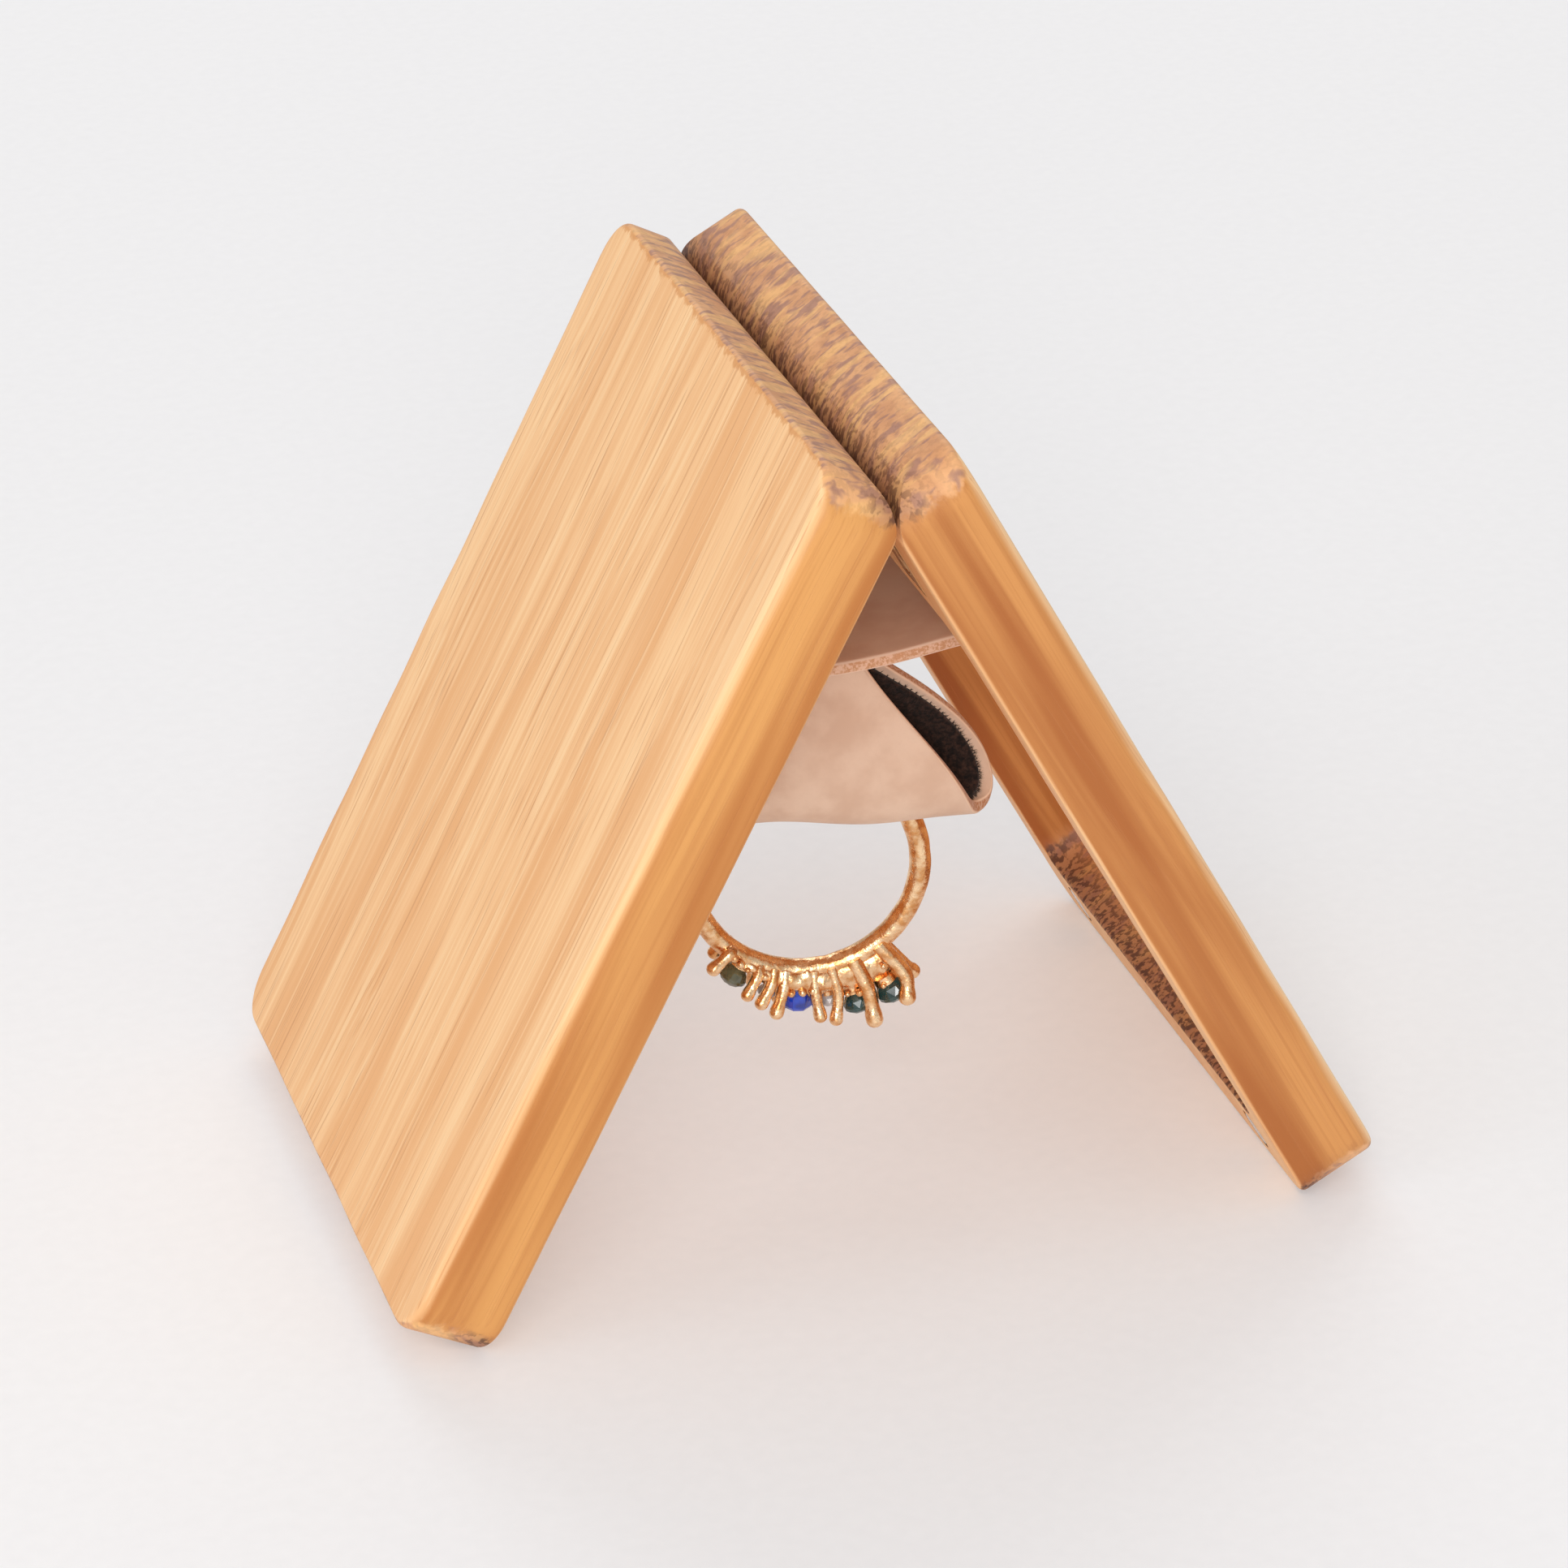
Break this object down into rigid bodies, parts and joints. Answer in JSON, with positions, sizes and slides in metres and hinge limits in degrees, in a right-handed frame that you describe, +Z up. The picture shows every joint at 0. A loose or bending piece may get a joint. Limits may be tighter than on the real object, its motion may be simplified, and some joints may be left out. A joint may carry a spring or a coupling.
{
  "type": "ring box",
  "caption": "Slim oak ring box stood open as a tent: two routed covers on brass hinges, joined by a leather band, with a leather loop holding a gold cluster ring that turns as it shuts.",
  "frame": {"origin": "on the floor, under the middle of the ridge", "axes": "+Z up, Y along the ridge and hinge axis, +X towards the back cover's foot"},
  "size_m": [0.0798, 0.056, 0.0692],
  "materials": {
    "oak": "oiled, open grained",
    "brass": "polished",
    "nickel": "nickel plated, satin",
    "leather": "smooth matt, cut edges left raw",
    "suede": "napped, very dark brown",
    "gold": "cast, softly hammered, polished on the high spots",
    "olive_stone": "facetted",
    "blue_stone": "facetted",
    "clear_stone": "facetted",
    "teal_stone": "facetted"
  },
  "bodies": {
    "front_cover": {"front_cover": "oak", "front_magnet_1": "nickel", "front_magnet_2": "nickel", "hinge_1_front_leaf": "brass", "hinge_1_front_screw_upper": "brass", "hinge_1_front_screw_lower": "brass", "hinge_1_pin": "brass", "hinge_2_front_leaf": "brass", "hinge_2_front_screw_upper": "brass", "hinge_2_front_screw_lower": "brass", "hinge_2_pin": "brass"},
    "back_cover": {"back_cover": "oak", "back_magnet_1": "nickel", "back_magnet_2": "nickel", "hinge_1_back_leaf": "brass", "hinge_1_back_screw_upper": "brass", "hinge_1_back_screw_lower": "brass", "hinge_2_back_leaf": "brass", "hinge_2_back_screw_upper": "brass", "hinge_2_back_screw_lower": "brass"},
    "leather_middle": {"leather_band": "leather"},
    "ring_holder": {"ring_loop": "leather", "loop_lining": "suede", "gold_ring": "gold", "stone_olive": "olive_stone", "stone_clear_small": "clear_stone", "stone_blue": "blue_stone", "stone_clear_round": "clear_stone", "stone_teal_front": "teal_stone", "stone_teal_end": "teal_stone"}
  },
  "joints": [
    {"name": "cover_hinge", "type": "hinge", "parent": "front_cover", "child": "back_cover", "pos_m": [0, 0, 0.06297], "axis": [0, 1, 0], "range_deg": [0, 56]},
    {"name": "band_fold", "type": "hinge", "parent": "front_cover", "child": "leather_middle", "pos_m": [0, 0, 0.06297], "axis": [0, 1, 0], "range_deg": [0, 28], "deforming": ["leather_band"]},
    {"name": "loop_turn", "type": "hinge", "parent": "leather_middle", "child": "ring_holder", "pos_m": [0, -0.0035, 0.0452], "axis": [0, 0, 1], "range_deg": [-80, 0]}
  ],
  "couplings": [
    {"joint": "band_fold", "follows": "cover_hinge", "ratio": 0.5},
    {"joint": "loop_turn", "follows": "cover_hinge", "ratio": -1.4286}
  ]
}
